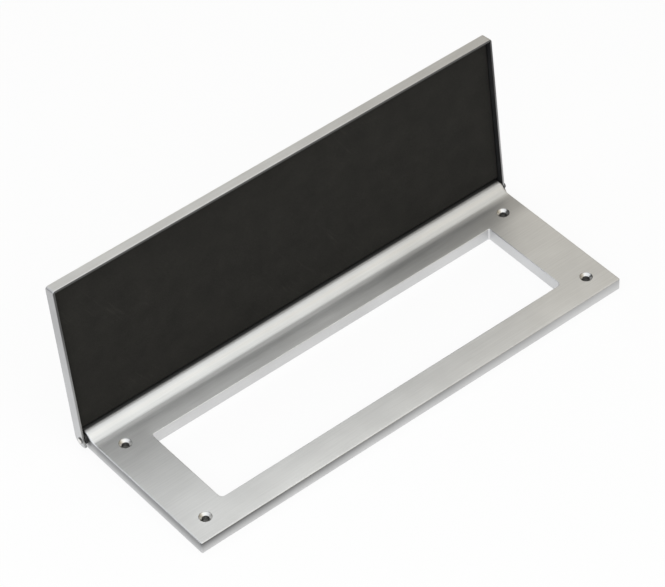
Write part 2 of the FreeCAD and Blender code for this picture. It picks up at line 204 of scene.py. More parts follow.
class FoamSheet(bpy.types.PropertyGroup):
    """Shape and finish of the foam inside the flap."""

    colour: colour_property("Colour", "Closed-cell black foam", (0.0155, 0.0147, 0.0126))
    roughness: share_property("Roughness", "Skin of the foam", 0.9)
    gloss: share_property("Gloss", "Strength of the faint shine on the skin", 0.25)
    edge_round: length_property("Edge round", "Round on the cut edges", 0.6 * MM)
    spacing: length_property("Spacing", "Spacing of the mesh over the sheet", 3 * MM)
    wave_height: length_property("Wave height", "How far the glued sheet dips", 0.12 * MM)
    wave_length: length_property("Wave length", "Size of one dip", 45 * MM)
    pore_size: length_property("Pore size", "Size of the cells in the skin", 0.6 * MM)
    pore_depth: length_property("Pore depth", "Depth of the cells in the skin", 0.03 * MM)
    pore_tone: share_property("Pore tone", "How far the cells lighten and darken the skin", 0.22)
    mottle_size: length_property("Mottle size", "Size of the faint mottling", 14 * MM)
    mottle_tone: share_property("Mottle tone", "How far the mottling lightens and darkens", 0.17)
    scuff_length: length_property("Scuff length", "Length of one scuff", 45 * MM)
    scuff_width: length_property("Scuff width", "Width of one scuff", 1.6 * MM)
    scuff_tone: share_property("Scuff tone", "How far a scuff lightens the foam", 0.35)
    seed: bpy.props.IntProperty(name="Seed", description="Picks the pattern of dips", default=7, min=0)


class StudioStage(bpy.types.PropertyGroup):
    """Camera, floor and lights."""

    eye: place_property("Eye", "Where the camera stands", (-0.74934, -0.93997, 1.24425))
    aim: place_property("Aim", "Point on the floor in the middle of the view", (0.02403, 0.05207, 0))
    roll: bpy.props.FloatProperty(
        name="Roll", description="Turn of the camera about its own view", default=math.radians(-2.472),
        subtype="ANGLE",
    )
    lens: bpy.props.FloatProperty(
        name="Lens", description="Focal length on a 36 mm wide sensor", default=181.163, unit="CAMERA"
    )
    floor_size: length_property("Floor size", "Side of the floor", 16.0)
    floor_colour: colour_property("Floor colour", "Pale floor", (0.9, 0.9, 0.9))
    floor_white: share_property("Floor white", "Share of plain white in what is seen of the floor", 0.9)
    hole_white: share_property("Hole white", "The same under the screw holes", 0.08)
    left_sky: colour_property("Left sky", "Studio wall and ceiling on the left", (0.56, 0.575, 0.61))
    right_sky: colour_property("Right sky", "Studio wall and ceiling on the right", (0.47, 0.418, 0.317))
    front_gain: share_property("Front gain", "How much brighter the studio is in front", 0.6)
    horizon_shade: share_property("Horizon shade", "How much darker the studio is near the floor", 0.85)
    horizon_rise: share_property("Horizon rise", "How far up the dark part of the studio reaches", 0.3)
    box_size: area_property("Softbox size", "Width and depth of the overhead softbox", (1.55, 2.0))
    box_place: place_property("Softbox place", "Middle of the overhead softbox", (-0.425, -0.48, 0.6))
    box_colour: colour_property("Softbox colour", "Cool light of the softbox", (0.9, 0.955, 1.0))
    box_glow: share_property("Softbox glow", "Brightness of the softbox, where 1 is white", 0.78, top=5)
    strip_size: area_property("Strip size", "Width and depth of the strip light on the right", (0.38, 0.7))
    strip_place: place_property("Strip place", "Middle of the strip light", (0.56, -0.25, 0.6))
    strip_glow: share_property("Strip glow", "Brightness of the strip light, where 1 is white", 0.42, top=5)


def put(tree, kind, inputs=None, **settings):
    """Add a node. Inputs are keyed by name or number, and hold a value or the socket to link."""
    node = tree.nodes.new(kind)
    for name, setting in settings.items():
        setattr(node, name, setting)
    for key, given in (inputs or {}).items():
        if isinstance(given, bpy.types.NodeSocket):
            tree.links.new(given, node.inputs[key])
        else:
            node.inputs[key].default_value = given
    return node


def calculate(tree, operation, *values):
    """Result of a Math node."""
    return put(tree, "ShaderNodeMath", dict(enumerate(values)), operation=operation).outputs[0]


def product(tree, *values):
    """Product of two or more values."""
    result = values[0]
    for value in values[1:]:
        result = calculate(tree, "MULTIPLY", result, value)
    return result


def vector_math(tree, operation, *vectors, scale=None):
    """Result of a Vector Math node."""
    inputs = dict(enumerate(vectors))
    if scale is not None:
        inputs["Scale"] = scale
    return put(tree, "ShaderNodeVectorMath", inputs, operation=operation).outputs[0]


def spread(tree, value, low, high, start=0.0, stop=1.0, smooth=False):
    """Carry a value from the span start to stop over to the span low to high."""
    inputs = {"Value": value, "From Min": start, "From Max": stop, "To Min": low, "To Max": high}
    kind = "SMOOTHSTEP" if smooth else "LINEAR"
    return put(tree, "ShaderNodeMapRange", inputs, interpolation_type=kind).outputs["Result"]


def choose(tree, factor, first, second):
    """Number between two, by a factor."""
    inputs = {"Factor": factor, "A": first, "B": second}
    return put(tree, "ShaderNodeMix", inputs, data_type="FLOAT").outputs["Result"]


def choose_vector(tree, factor, first, second):
    """Vector between two, by a factor."""
    node = put(tree, "ShaderNodeMix", {"Factor": factor}, data_type="VECTOR")
    ends = [socket for socket in node.inputs if socket.type == "VECTOR" and socket.enabled]
    tree.links.new(first, ends[-2])
    tree.links.new(second, ends[-1])
    return next(socket for socket in node.outputs if socket.type == "VECTOR")


def axes_of(tree, vector):
    """X, Y and Z of a vector."""
    return put(tree, "ShaderNodeSeparateXYZ", {0: vector}).outputs


def vector_of(tree, *parts):
    """Vector of parts along X, Y and Z. Those that aren't given are 0."""
    return put(tree, "ShaderNodeCombineXYZ", dict(enumerate(parts))).outputs["Vector"]


def noise(tree, coordinates, detail=2.0, roughness=0.5):
    """Value of a noise texture, between 0 and 1."""
    inputs = {"Vector": coordinates, "Scale": 1.0, "Detail": detail, "Roughness": roughness}
    return put(tree, "ShaderNodeTexNoise", inputs).outputs["Fac"]


def stretch(tree, coordinates, sizes):
    """Coordinates counted in steps of the given sizes along X, Y and Z."""
    inputs = {"Vector": coordinates, "Scale": [1 / size for size in sizes]}
    return put(tree, "ShaderNodeMapping", inputs).outputs["Vector"]


def speckle(tree, place, size, *character):
    """Noise of one size every way."""
    return noise(tree, stretch(tree, place, [size] * 3), *character)


def rotate(tree, vector, angles):
    """Vector turned about X, Y and Z."""
    return put(tree, "ShaderNodeMapping", {"Vector": vector, "Rotation": angles}).outputs["Vector"]


def stand_up(tree, vector):
    """Vector turned about the hinge, so that the leaning flap stands upright."""
    return rotate(tree, vector, (FLAP_LEAN, 0, 0))


def follow_curve(tree, value, points):
    """Number that runs smoothly through points, each of them a value and the number there."""
    values, numbers = zip(*points)
    low, high = min(numbers), max(numbers)
    node = put(tree, "ShaderNodeFloatCurve", {"Value": spread(tree, value, 0, 1, values[0], values[-1])})
    curve = node.mapping.curves[0]
    span = values[-1] - values[0]
    spots = [((place - values[0]) / span, (number - low) / (high - low)) for place, number in points]
    curve.points[0].location = spots[0]
    curve.points[1].location = spots[-1]
    for spot in spots[1:-1]:
        curve.points.new(*spot)
    node.mapping.update()
    return spread(tree, node.outputs["Value"], low, high)


def from_pin(tree, place):
    """Place on the part, counted from the pin axis."""
    return vector_math(tree, "SUBTRACT", place, PIN_AXIS)


# Span in which nearly all of a noise texture's values lie.
NOISE_LOW, NOISE_HIGH = 0.3, 0.7


def tone_of(tree, value, reach):
    """Factor about 1 that follows a noise value up and down by a reach."""
    return spread(tree, value, 1 - reach, 1 + reach, NOISE_LOW, NOISE_HIGH)


def new_material(name):
    """Material with a Principled shader. Returns the material, its tree and the shader."""
    material = bpy.data.materials.new(name)
    material.use_nodes = True
    tree = material.node_tree
    return material, tree, tree.nodes["Principled BSDF"]


def paint(tree, shader, colour, *tones):
    """Base colour, as three numbers or a socket, times any number of tones."""
    painted = colour
    for tone in tones:
        painted = vector_math(tree, "SCALE", painted, scale=tone)
    tree.links.new(painted, shader.inputs["Base Color"])


def blend(tree, share, first, second):
    """Vector between two constant ones, by a share."""
    change = [end - start for start, end in zip(first, second)]
    return vector_math(tree, "ADD", tuple(first), vector_math(tree, "SCALE", change, scale=share))


def emboss(tree, shader, height, depth, surface=None):
    """Bump of a given depth, on the surface's own normal or on a given one."""
    inputs = {"Height": height, "Strength": 1.0, "Distance": depth}
    if surface is not None:
        inputs["Normal"] = surface
    tree.links.new(put(tree, "ShaderNodeBump", inputs).outputs["Normal"], shader.inputs["Normal"])


# Way the brushing runs: along the hinge, but never quite square to a face.
BRUSHED = (1.0, 0.08, 0.05)
# Detail and roughness of the noise for brush lines, foam cells and foam mottling.
LINE_NOISE = (3, 0.6)
CELL_NOISE = (3, 0.65)
MOTTLE_NOISE = (4, 0.6)
# Detail of the noise for turning marks, patches of scuffs and the foam's dips.
SMOOTH_DETAIL = 1.0
# Least part of a normal along the hinge on a face that looks along it.
FACING = 0.7
# Greatest part of a normal along any axis, up to which a face is round and from which it is flat.
ROUNDED, FLAT = 0.97, 0.999
# Spans over which the painted shade on an outer face fades out, by a part of its normal. That is the part
# upwards for the plate's ends and front, and the part off the flap's sheet for the rims of its lips.
END_TURN = (0.1, 0.6)
FRONT_TURN = (0.3, 0.85)
RIM_TURN = (-0.95, -0.4)
# Slope to the front that buffing leaves on the plate's top, at places across it. It rounds the bars
# a little at the front edge and the window, leaves a dip at the rail's foot, draws the cove out to
# there and evens the bead.
BUFFED_SLOPE = (
    (-45.5 * MM, 0.045),
    (-36.0 * MM, -0.006),
    (-29.0 * MM, -0.022),
    (-20.0 * MM, 0.0),
    (20.0 * MM, 0.0),
    (29.0 * MM, 0.07),
    (36.0 * MM, 0.015),
    (38.3 * MM, -0.03),
    (40.0 * MM, 0.03),
    (42.8 * MM, 0.22),
    (44.5 * MM, 0.1),
    (46.5 * MM, -0.12),
    (48.3 * MM, 0.08),
    (49.5 * MM, 0.13),
)
# Where the buffing of the window's edge gives way to that of the rail, and how softly it ends beside
# the window.
RAIL_BUFFING = (34 * MM, 37 * MM)
BUFFING_EASE = 3 * MM
# Where the strip of painted shade by the rail's foot begins and ends across the plate, and comes up along it.
FOOT_START = (22 * MM, 34 * MM)
FOOT_STOP = (40 * MM, 43 * MM)
FOOT_SPAN = (0, 80 * MM)


def looks_along(tree, normal):
    """1 on faces that look along the hinge."""
    side = calculate(tree, "ABSOLUTE", axes_of(tree, normal)["X"])
    return calculate(tree, "GREATER_THAN", side, FACING)


def brush_lines(tree, place, normal, finish):
    """Brush lines along the hinge, and up the faces that look along it. Runs from 0 to 1."""
    long, fine = finish.line_length, finish.line_width
    along = noise(tree, stretch(tree, place, (long, fine, fine)), *LINE_NOISE)
    across = noise(tree, stretch(tree, place, (fine, long, long)), *LINE_NOISE)
    return choose(tree, looks_along(tree, normal), along, across)


def flatness(tree, normal):
    """1 on faces square to an axis, 0 on rounded ones."""
    sides = [calculate(tree, "ABSOLUTE", part) for part in axes_of(tree, normal)]
    most = calculate(tree, "MAXIMUM", calculate(tree, "MAXIMUM", sides[0], sides[1]), sides[2])
    return spread(tree, most, 0, 1, ROUNDED, FLAT)


def from_screw(tree, place):
    """Place counted from the nearest screw's axis, along the plate."""
    parts = []
    for part, middle in zip(axes_of(tree, place), SCREW_PLACE):
        beside = calculate(tree, "SIGN", part)
        parts.append(calculate(tree, "SUBTRACT", part, product(tree, beside, middle)))
    return vector_of(tree, *parts)


def screw_reach(tree, place):
    """Distance from the nearest screw's axis."""
    inputs = {0: from_screw(tree, place)}
    return put(tree, "ShaderNodeVectorMath", inputs, operation="LENGTH").outputs["Value"]


def sink_normal(tree, place):
    """Normal of the countersink's true cone, inwards and up at half a right angle."""
    to_axis = vector_math(tree, "SCALE", from_screw(tree, place), scale=-1.0)
    inwards = vector_math(tree, "NORMALIZE", to_axis)
    return vector_math(tree, "NORMALIZE", vector_math(tree, "ADD", inwards, (0, 0, 1)))


def buffed_normal(tree, place, normal):
    """Normal of the plate where buffing has rounded it."""
    parts = axes_of(tree, place)
    slope = follow_curve(tree, parts["Y"], BUFFED_SLOPE)
    window_end = PLATE_HIGH.x - SIDE_BAR
    off_middle = calculate(tree, "ABSOLUTE", parts["X"])
    by_window = spread(tree, off_middle, 1, 0, window_end - BUFFING_EASE, window_end + BUFFING_EASE)
    by_rail = spread(tree, parts["Y"], 0, 1, *RAIL_BUFFING)
    share = calculate(tree, "MAXIMUM", by_window, by_rail)
    lean = vector_math(tree, "SCALE", (0, -1, 0), scale=product(tree, slope, share))
    return vector_math(tree, "NORMALIZE", vector_math(tree, "ADD", normal, lean))


def rail_top(tree, place):
    """1 on the flat top of the rail, behind the pin axis."""
    parts = axes_of(tree, place)
    on_rail = calculate(tree, "GREATER_THAN", parts["Z"], PLATE_HIGH.z - RAIL_CROWN)
    behind = spread(tree, parts["Y"], 0, 1, PIN_AXIS.y, PIN_AXIS.y + EDGE_ROOM)
    return product(tree, on_rail, behind)


def rail_foot_shade(tree, parts):
    """Mask of the painted shade by the rail's foot: 1 on the plate's top at its right end, fading to the left and
    the window.
    """
    on_top = calculate(tree, "GREATER_THAN", parts["Z"], PLATE_TOP - HAIR)
    before = spread(tree, parts["Y"], 0, 1, *FOOT_START, smooth=True)
    behind = spread(tree, parts["Y"], 1, 0, *FOOT_STOP, smooth=True)
    right = spread(tree, parts["X"], 0, 1, *FOOT_SPAN, smooth=True)
    return product(tree, before, behind, on_top, right)


def outer_face_shade(tree, parts, rise, turn, darkening, tone):
    """Painted shade on an outer face of the plate, which darkens it upwards and less so to the right."""
    upright = spread(tree, rise, 1, 0, *turn)
    height = calculate(tree, "POWER", spread(tree, parts["Z"], 0, 1, 0, PLATE_TOP), darkening)
    along = spread(tree, parts["X"], 1, RIGHT_SHADE_SHARE, PLATE_LOW.x, PLATE_HIGH.x)
    return choose(tree, product(tree, upright, height, along), 1.0, tone)


def plate_shade(tree, finish, place, normal):
    """Painted shade on the plate: its ends and front darken upwards; its sides, rounds, rail top and rail foot are
    darker.
    """
    parts = axes_of(tree, place)
    off_middle = calculate(tree, "ABSOLUTE", parts["X"])
    at_end = calculate(tree, "GREATER_THAN", off_middle, PLATE_HIGH.x - EDGE_ROOM)
    at_front = calculate(tree, "LESS_THAN", parts["Y"], PLATE_LOW.y + EDGE_ROOM)
    upwards = axes_of(tree, normal)["Z"]
    rise = calculate(tree, "ABSOLUTE", upwards)
    ends = outer_face_shade(tree, parts, rise, END_TURN, END_DARKENING, finish.end_face_shade)
    front = outer_face_shade(tree, parts, rise, FRONT_TURN, FRONT_DARKENING, finish.front_face_shade)
    edges = choose(tree, at_front, choose(tree, at_end, 1.0, ends), front)
    # Painted shade on the rail's top.
    rail = choose(tree, rail_top(tree, place), 1.0, finish.rail_top_shade)
    # Painted shade on the plate's rounds and sides.
    top = choose(tree, spread(tree, upwards, 0, 1, ROUNDED, FLAT), finish.side_shade, 1.0)
    # Painted shade by the rail's foot.
    foot = choose(tree, rail_foot_shade(tree, parts), 1.0, finish.foot_shade)
    return product(tree, edges, rail, top, foot)


# Shares of the flap's height between which the painted shade on its ends and the rims of its lips deepens.
LIP_FADE = (0.3, 0.75)


def flap_shade(tree, finish, place, normal):
    """Painted shade on the flap: all of it a little darker, its ends and rims darker towards the free edge, its
    inside dark.
    """
    parts = axes_of(tree, place)
    height = spread(tree, parts["Z"], 0, 1, *(FREE_LIP_INSIDE * share for share in LIP_FADE))
    end_shade = choose(tree, height, finish.low_end_shade, finish.high_end_shade)
    rim_shade = choose(tree, height, finish.end_rim_shade, finish.free_rim_shade)
    is_rim = spread(tree, axes_of(tree, normal)["Y"], 1, 0, *RIM_TURN)
    outside = choose(tree, is_rim, choose(tree, looks_along(tree, normal), 1.0, end_shade), rim_shade)
    off_middle = calculate(tree, "ABSOLUTE", parts["X"])
    inside = product(
        tree,
        calculate(tree, "LESS_THAN", off_middle, LIP_INSIDE + HAIR),
        calculate(tree, "LESS_THAN", parts["Y"], SHEET_INSIDE + HAIR),
        calculate(tree, "LESS_THAN", parts["Z"], FREE_LIP_INSIDE + HAIR),
    )
    # Painted shade and reflection of the dark foam inside the tray, and the side shade over the whole flap.
    return product(tree, choose(tree, inside, outside, finish.inside_shade), finish.side_shade)


def brush(tree, shader, finish, place, facing, surface, smooth=0.0):
    """Satin metal with brush lines on its surface, but smoother where it is turned. Returns its tones.

    Places and the way a face looks are given with the flap upright, the surface's normal as it lies.
    """
    lines = brush_lines(tree, place, facing, finish)
    even = choose(tree, flatness(tree, facing), finish.round_roughness, finish.flat_roughness)
    brushed = product(tree, even, tone_of(tree, lines, finish.line_roughness))
    tree.links.new(choose(tree, smooth, brushed, finish.turned_roughness), shader.inputs["Roughness"])
    shader.inputs["Anisotropic"].default_value = finish.grain
    tree.links.new(vector_math(tree, "CROSS_PRODUCT", surface, BRUSHED), shader.inputs["Tangent"])
    emboss(tree, shader, lines, finish.line_depth, surface)
    shader.inputs["Metallic"].default_value = 1.0
    clouds = speckle(tree, place, finish.cloud_size)
    return tone_of(tree, lines, finish.line_tone), tone_of(tree, clouds, finish.cloud_tone)


def plate_metal(name, finish):
    """Brushed metal of the plate, with turned countersinks and painted shade."""
    material, tree, shader = new_material(name)
    place = put(tree, "ShaderNodeTexCoord").outputs["Object"]
    reach = screw_reach(tree, place)
    turned = calculate(tree, "LESS_THAN", reach, COUNTERSINK_RADIUS)
    in_hole = calculate(tree, "LESS_THAN", reach, HOLE_RADIUS + HAIR)
    in_cone = calculate(tree, "SUBTRACT", turned, in_hole)
    buffed = buffed_normal(tree, place, put(tree, "ShaderNodeNewGeometry").outputs["Normal"])
    surface = choose_vector(tree, in_cone, buffed, sink_normal(tree, place))
    smooth = calculate(tree, "MAXIMUM", turned, rail_top(tree, place))
    tones = brush(tree, shader, finish, from_pin(tree, place), surface, surface, smooth)
    colour = blend(tree, turned, finish.colour, finish.turned_colour)
    # Painted shade at the rims of the countersinks and down the screw holes.
    rim_start = COUNTERSINK_RADIUS - SINK_RIM
    rim_shade = spread(tree, reach, 1, finish.sink_rim_shade, rim_start, COUNTERSINK_RADIUS)
    sink_shade = choose(tree, in_hole, choose(tree, turned, 1.0, rim_shade), finish.hole_shade)
    paint(tree, shader, colour, *tones, sink_shade, plate_shade(tree, finish, place, surface))
    return material


def flap_metal(name, finish):
    """Brushed metal of the flap, with painted shade."""
    material, tree, shader = new_material(name)
    coordinates = put(tree, "ShaderNodeTexCoord").outputs
    upright = stand_up(tree, from_pin(tree, coordinates["Object"]))
    facing = stand_up(tree, coordinates["Normal"])
    surface = put(tree, "ShaderNodeNewGeometry").outputs["Normal"]
    tones = brush(tree, shader, finish, upright, facing, surface)
    paint(tree, shader, tuple(finish.colour), *tones, flap_shade(tree, finish, upright, facing))
    return material


def turned_steel(name, finish):
    """Polished steel with turning marks about the pin axis, and painted shade round the head's rim."""
    material, tree, shader = new_material(name)
    parts = axes_of(tree, from_pin(tree, put(tree, "ShaderNodeTexCoord").outputs["Object"]))
    squares = [product(tree, parts[axis], parts[axis]) for axis in "YZ"]
    radius = calculate(tree, "SQRT", calculate(tree, "ADD", *squares))
    rings = speckle(tree, vector_of(tree, parts["X"], radius), finish.ring_width, SMOOTH_DETAIL)
    # Painted shade that darkens the head from its crown out to its rim.
    head_shade = spread(tree, radius, 1, finish.rim_shade, finish.crown_radius, finish.rim_radius)
    paint(tree, shader, tuple(finish.colour), tone_of(tree, rings, finish.ring_tone), head_shade)
    emboss(tree, shader, rings, finish.ring_depth)
    shader.inputs["Roughness"].default_value = finish.roughness
    shader.inputs["Metallic"].default_value = 1.0
    return material


def moulded_nylon(name, finish):
    """Black nylon with a fine moulded grain."""
    material, tree, shader = new_material(name)
    place = put(tree, "ShaderNodeTexCoord").outputs["Object"]
    grain = speckle(tree, place, finish.grain_size)
    paint(tree, shader, tuple(finish.colour), tone_of(tree, grain, finish.grain_tone))
    emboss(tree, shader, grain, finish.grain_depth)
    shader.inputs["Roughness"].default_value = finish.roughness
    return material


# Slant of the scuffs on the foam, and size of the patches that they lie in.
SCUFF_TURN = math.radians(-58)
PATCH_SIZE = 60 * MM
# Noise values over which a streak and a patch of scuffs come up.
STREAK_SPAN = (0.6, 0.72)
PATCH_SPAN = (0.54, 0.64)


def foam_scuffs(tree, place, finish):
    """Long slanting scuffs, in a few patches. Runs from 0 to 1."""
    slanted = rotate(tree, place, (0, SCUFF_TURN, 0))
    sizes = (finish.scuff_length, finish.scuff_width, finish.scuff_width)
    streaks = spread(tree, noise(tree, stretch(tree, slanted, sizes)), 0, 1, *STREAK_SPAN)
    patches = spread(tree, speckle(tree, place, PATCH_SIZE, SMOOTH_DETAIL), 0, 1, *PATCH_SPAN)
    return product(tree, streaks, patches)


def black_foam(name, finish):
    """Matte closed-cell foam: fine cells, faint mottling and a few long scuffs."""
    material, tree, shader = new_material(name)
    place = put(tree, "ShaderNodeTexCoord").outputs["Object"]
    cells = speckle(tree, place, finish.pore_size, *CELL_NOISE)
    mottle = speckle(tree, place, finish.mottle_size, *MOTTLE_NOISE)
    scuffs = spread(tree, foam_scuffs(tree, place, finish), 1, 1 + finish.scuff_tone)
    tones = tone_of(tree, mottle, finish.mottle_tone), tone_of(tree, cells, finish.pore_tone)
    paint(tree, shader, tuple(finish.colour), *tones, scuffs)
    emboss(tree, shader, cells, finish.pore_depth)
    shader.inputs["Roughness"].default_value = finish.roughness
    shader.inputs["Specular IOR Level"].default_value = finish.gloss
    return material


def give_material(node, material):
    """Put one material on a node of the packed part."""
    slots = frame["nodes"][node].data.materials
    slots.clear()
    slots.append(material)


def set_inputs(modifier, values):
    """Set the inputs of a node modifier, found by name and set by identifier."""
    for item in modifier.node_group.interface.items_tree:
        if item.item_type == "SOCKET" and item.in_out == "INPUT" and item.name in values:
            modifier[item.identifier] = values[item.name]


# Steps of the mesh round each edge of the foam, and points across its thickness.
ROUND_STEPS = 3
EDGE_POINTS = 2 * ROUND_STEPS + 1


def crowd_edges(tree, coordinate, half, edge_round, count):
    """Move evenly spaced points so that the last few on each side lie within the round edge."""
    middle = calculate(tree, "DIVIDE", calculate(tree, "SUBTRACT", count, 1.0), 2.0)
    pitch = calculate(tree, "DIVIDE", half, middle)
    step = calculate(tree, "DIVIDE", calculate(tree, "ABSOLUTE", coordinate), pitch)
    from_edge = calculate(tree, "SUBTRACT", middle, step)
    in_round = spread(tree, from_edge, 0, edge_round, 0, ROUND_STEPS)
    flat = calculate(tree, "SUBTRACT", half, edge_round)
    in_flat = spread(tree, from_edge, 0, flat, ROUND_STEPS, middle)
    moved = calculate(tree, "SUBTRACT", half, calculate(tree, "ADD", in_round, in_flat))
    return product(tree, calculate(tree, "SIGN", coordinate), moved)


def round_edges(tree, given, sizes, counts):
    """Place of each point of a box once its edges are rounded."""
    here = axes_of(tree, put(tree, "GeometryNodeInputPosition").outputs[0])
    crowded, inner = [], []
    for coordinate, size, count in zip(here, sizes, counts):
        half = calculate(tree, "DIVIDE", size, 2.0)
        limit = calculate(tree, "SUBTRACT", half, given["Edge Round"])
        moved = crowd_edges(tree, coordinate, half, given["Edge Round"], count)
        held = calculate(tree, "MAXIMUM", moved, product(tree, limit, -1.0))
        crowded.append(moved)
        inner.append(calculate(tree, "MINIMUM", held, limit))
    inner_point = vector_of(tree, *inner)
    way_out = vector_math(tree, "SUBTRACT", vector_of(tree, *crowded), inner_point)
    ray = vector_math(tree, "NORMALIZE", way_out)
    step = vector_math(tree, "SCALE", ray, scale=given["Edge Round"])
    return vector_math(tree, "ADD", inner_point, step)


def face_dips(tree, given):
    """Small dips of the free face, where the sheet isn't glued quite flat."""
    spot = put(tree, "GeometryNodeInputPosition").outputs[0]
    steps = vector_math(tree, "SCALE", spot, scale=calculate(tree, "DIVIDE", 1.0, given["Wave Length"]))
    pattern = {"Vector": steps, "W": given["Seed"], "Scale": 1.0, "Detail": SMOOTH_DETAIL}
    waves = put(tree, "ShaderNodeTexNoise", pattern, noise_dimensions="4D").outputs["Fac"]
    is_free = calculate(tree, "GREATER_THAN", axes_of(tree, spot)["Z"], 0.0)
    return vector_of(tree, 0.0, 0.0, product(tree, waves, given["Wave Height"], is_free, -1.0))


# Named inputs of the foam's node tree, each with its kind.
FOAM_INPUTS = (
    ("Length", "NodeSocketFloat"),
    ("Width", "NodeSocketFloat"),
    ("Thickness", "NodeSocketFloat"),
    ("Edge Round", "NodeSocketFloat"),
    ("Spacing", "NodeSocketFloat"),
    ("Wave Height", "NodeSocketFloat"),
    ("Wave Length", "NodeSocketFloat"),
    ("Seed", "NodeSocketInt"),
    ("Lean", "NodeSocketFloat"),
    ("Place", "NodeSocketVector"),
    ("Material", "NodeSocketMaterial"),
)


def foam_sheet_tree():
    """Node tree of the foam: a closed sheet with round edges, whose free face dips a little."""
    tree = bpy.data.node_groups.new("foam_sheet", "GeometryNodeTree")
    tree.interface.new_socket("Geometry", in_out="OUTPUT", socket_type="NodeSocketGeometry")
    for name, kind in FOAM_INPUTS:
        tree.interface.new_socket(name, in_out="INPUT", socket_type=kind)
    given = put(tree, "NodeGroupInput").outputs
    sizes = [given[name] for name in ("Length", "Width", "Thickness")]
    counts = []
    for size in sizes[:2]:
        flats = calculate(tree, "ROUND", calculate(tree, "DIVIDE", size, given["Spacing"]))
        counts.append(calculate(tree, "ADD", flats, float(EDGE_POINTS)))
    cube = put(tree, "GeometryNodeMeshCube", {
        "Size": vector_of(tree, *sizes),
        "Vertices X": counts[0],
        "Vertices Y": counts[1],
        "Vertices Z": EDGE_POINTS,
    })
    rounded = round_edges(tree, given, sizes, (*counts, float(EDGE_POINTS)))
    turn = vector_of(tree, given["Lean"])
    steps = (
        ("GeometryNodeSetPosition", {"Position": rounded}),
        ("GeometryNodeSetPosition", {"Offset": face_dips(tree, given)}),
        ("GeometryNodeTransform", {"Translation": given["Place"], "Rotation": turn}),
        ("GeometryNodeSetShadeSmooth", {"Shade Smooth": True}),
        ("GeometryNodeRealizeInstances", {}),
        ("GeometryNodeSetMaterial", {"Material": given["Material"]}),
        ("NodeGroupOutput", {}),
    )
    shape = cube
    for kind, inputs in steps:
        shape = put(tree, kind, {"Geometry": shape.outputs[0], **inputs})
    return tree


def mesh_from_nodes(name, tree, values):
    """Plain mesh object that a node tree makes, with its place in its mesh."""
    carrier = bpy.data.objects.new(name, bpy.data.meshes.new(name))
    bpy.context.collection.objects.link(carrier)
    modifier = carrier.modifiers.new(tree.name, "NODES")
    modifier.node_group = tree
    set_inputs(modifier, values)
    evaluated = carrier.evaluated_get(bpy.context.evaluated_depsgraph_get())
    mesh = bpy.data.meshes.new_from_object(evaluated)
    carrier.modifiers.remove(modifier)
    carrier.data = mesh
    mesh.name = name
    return carrier


class LETTERBOX_OT_finish_plate(bpy.types.Operator):
    """Brush the framed plate and its hinge rail, and paint shade on them"""

    bl_idname = "letterbox.finish_plate"
    bl_label = "Finish plate"

    def execute(self, context):
        finish = context.scene.letterbox_metal
        give_material("frame_plate", plate_metal("brushed_plate", finish))
        return {"FINISHED"}


class LETTERBOX_OT_finish_flap(bpy.types.Operator):
    """Brush the lipped flap, and paint shade on it"""

    bl_idname = "letterbox.finish_flap"
    bl_label = "Finish flap"

    def execute(self, context):
        finish = context.scene.letterbox_metal
        give_material("flap_tray", flap_metal("brushed_flap", finish))
        return {"FINISHED"}


class LETTERBOX_OT_finish_hinge(bpy.types.Operator):
    """Finish the two hinge pins and the two spacer washers, and paint shade round the pins' heads"""

    bl_idname = "letterbox.finish_hinge"
    bl_label = "Finish hinge"

    def execute(self, context):
        steel = turned_steel("turned_steel", context.scene.letterbox_pins)
        nylon = moulded_nylon("moulded_nylon", context.scene.letterbox_washers)
        for side in ("left", "right"):
            give_material(f"hinge_pin_{side}", steel)
            give_material(f"washer_{side}", nylon)
        return {"FINISHED"}


class LETTERBOX_OT_make_foam(bpy.types.Operator):
    """Make the foam sheet that lines the flap"""

    bl_idname = "letterbox.make_foam"
    bl_label = "Make foam"

    def execute(self, context):
        sheet = context.scene.letterbox_foam
        spans = flap_spans("foam_seal")
        length, width, thickness = (high - low for low, high in spans)
        middles = [(low + high) / 2 for low, high in spans]
        steps = [axis * middle for axis, middle in zip(FLAP_AXES, middles)]
        centre = sum(steps, PIN_AXIS)
        foam = mesh_from_nodes("foam_lining", foam_sheet_tree(), {
            "Length": length,
            "Width": width,
            "Thickness": thickness,
            "Edge Round": sheet.edge_round,
            "Spacing": sheet.spacing,
            "Wave Height": sheet.wave_height,
            "Wave Length": sheet.wave_length,
            "Seed": sheet.seed,
            "Lean": math.pi - OPEN_ANGLE,
            "Place": centre,
            "Material": black_foam("black_foam_skin", sheet),
        })
        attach(foam, "flap")
        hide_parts("foam_seal")
        return {"FINISHED"}


# Width of the camera's sensor in millimetres, and how near and how far it sees in metres.
SENSOR_WIDTH = 36.0
NEAREST, FARTHEST = 0.1, 50.0


def add_camera(stage):
    """Camera that looks from the eye to the aim, turned about its view by the roll."""
    view = bpy.data.cameras.new("camera")
    view.sensor_width = SENSOR_WIDTH
    view.lens = stage.lens
    view.clip_start = NEAREST
    view.clip_end = FARTHEST
    camera = bpy.data.objects.new("camera", view)
    eye, aim = Vector(stage.eye), Vector(stage.aim)
    turn = (aim - eye).to_track_quat("-Z", "Y") @ Quaternion((0, 0, 1), stage.roll)
    camera.matrix_world = Matrix.Translation(eye) @ turn.to_matrix().to_4x4()
    bpy.context.collection.objects.link(camera)
    bpy.context.scene.camera = camera


